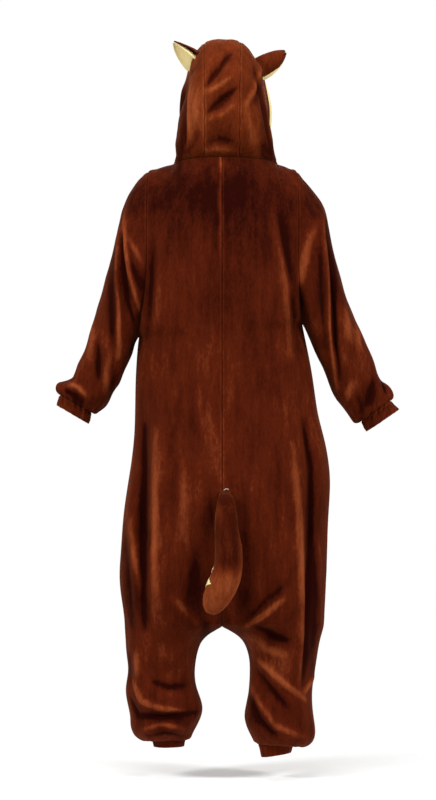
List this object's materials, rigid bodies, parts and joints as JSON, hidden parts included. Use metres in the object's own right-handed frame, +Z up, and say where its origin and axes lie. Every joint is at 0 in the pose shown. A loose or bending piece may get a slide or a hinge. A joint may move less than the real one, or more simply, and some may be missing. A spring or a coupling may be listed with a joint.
{
  "type": "squirrel onesie",
  "caption": "Hollow one-piece plush costume with an eared hood, long sleeves, gathered cuffs and a stuffed tail, in the pose in which it is worn.",
  "frame": {"origin": "middle of the neck opening, level with the neck seam on the shoulders, where the garment hangs from the wearer", "axes": "+Z up, the front of the garment faces -Y, the wearer's left is +X"},
  "size_m": [0.789, 0.403, 1.65],
  "materials": {
    "plush_brown": "short plush pile with a soft sheen",
    "plush_cream": "short plush pile",
    "button_brown": "satin"
  },
  "bodies": {
    "root": {"back_left": "plush_brown", "front_left": "plush_brown", "sleeve_left": "plush_brown", "cuff_wrist_left": "plush_brown", "cuff_ankle_left": "plush_brown", "hood_side_left": "plush_brown", "ear_back_left": "plush_brown", "ear_inner_left": "plush_cream", "back_right": "plush_brown", "front_right": "plush_brown", "sleeve_right": "plush_brown", "cuff_wrist_right": "plush_brown", "cuff_ankle_right": "plush_brown", "hood_side_right": "plush_brown", "ear_back_right": "plush_brown", "ear_inner_right": "plush_cream", "hood_centre": "plush_brown", "hood_front_band": "plush_cream", "tail": "plush_brown", "tail_inner": "plush_cream", "front_placket": "plush_brown", "button_1": "button_brown", "button_2": "button_brown", "button_3": "button_brown", "button_4": "button_brown", "button_5": "button_brown"}
  },
  "joints": []
}
